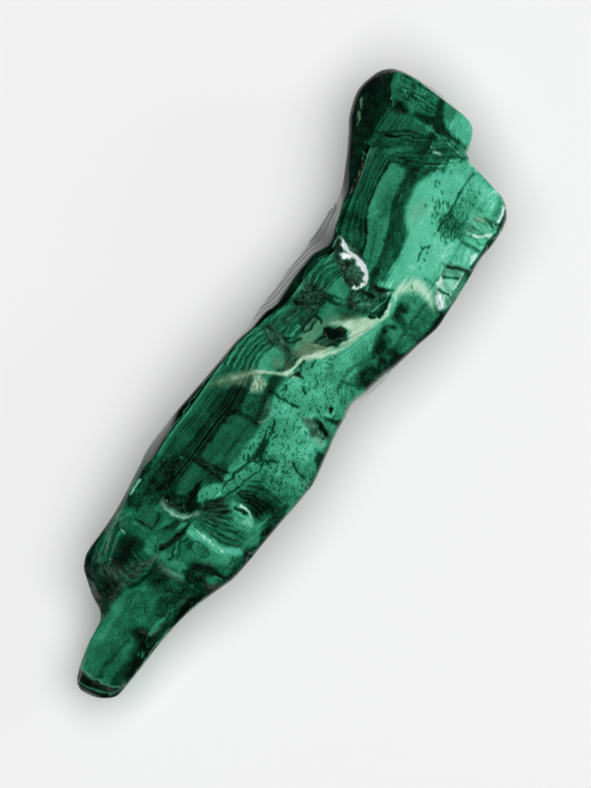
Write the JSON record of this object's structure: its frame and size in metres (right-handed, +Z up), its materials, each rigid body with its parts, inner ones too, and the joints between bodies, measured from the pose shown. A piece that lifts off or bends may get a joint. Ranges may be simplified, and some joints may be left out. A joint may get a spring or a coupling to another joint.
{
  "type": "polished malachite stone",
  "caption": "Polished freeform malachite: a long lumpy green stone with a slim tip, a slanting cut end, banded front and flattened back.",
  "frame": {"origin": "middle of the stone's footprint, on the surface it rests on", "axes": "+X along the stone towards its slanting cut end, +Y towards its steep dark side face, +Z up out of the polished front face"},
  "size_m": [0.16, 0.0448, 0.0267],
  "materials": {
    "malachite": "high polish, banded light and dark green"
  },
  "bodies": {
    "root": {"malachite_stone": "malachite"}
  },
  "joints": []
}
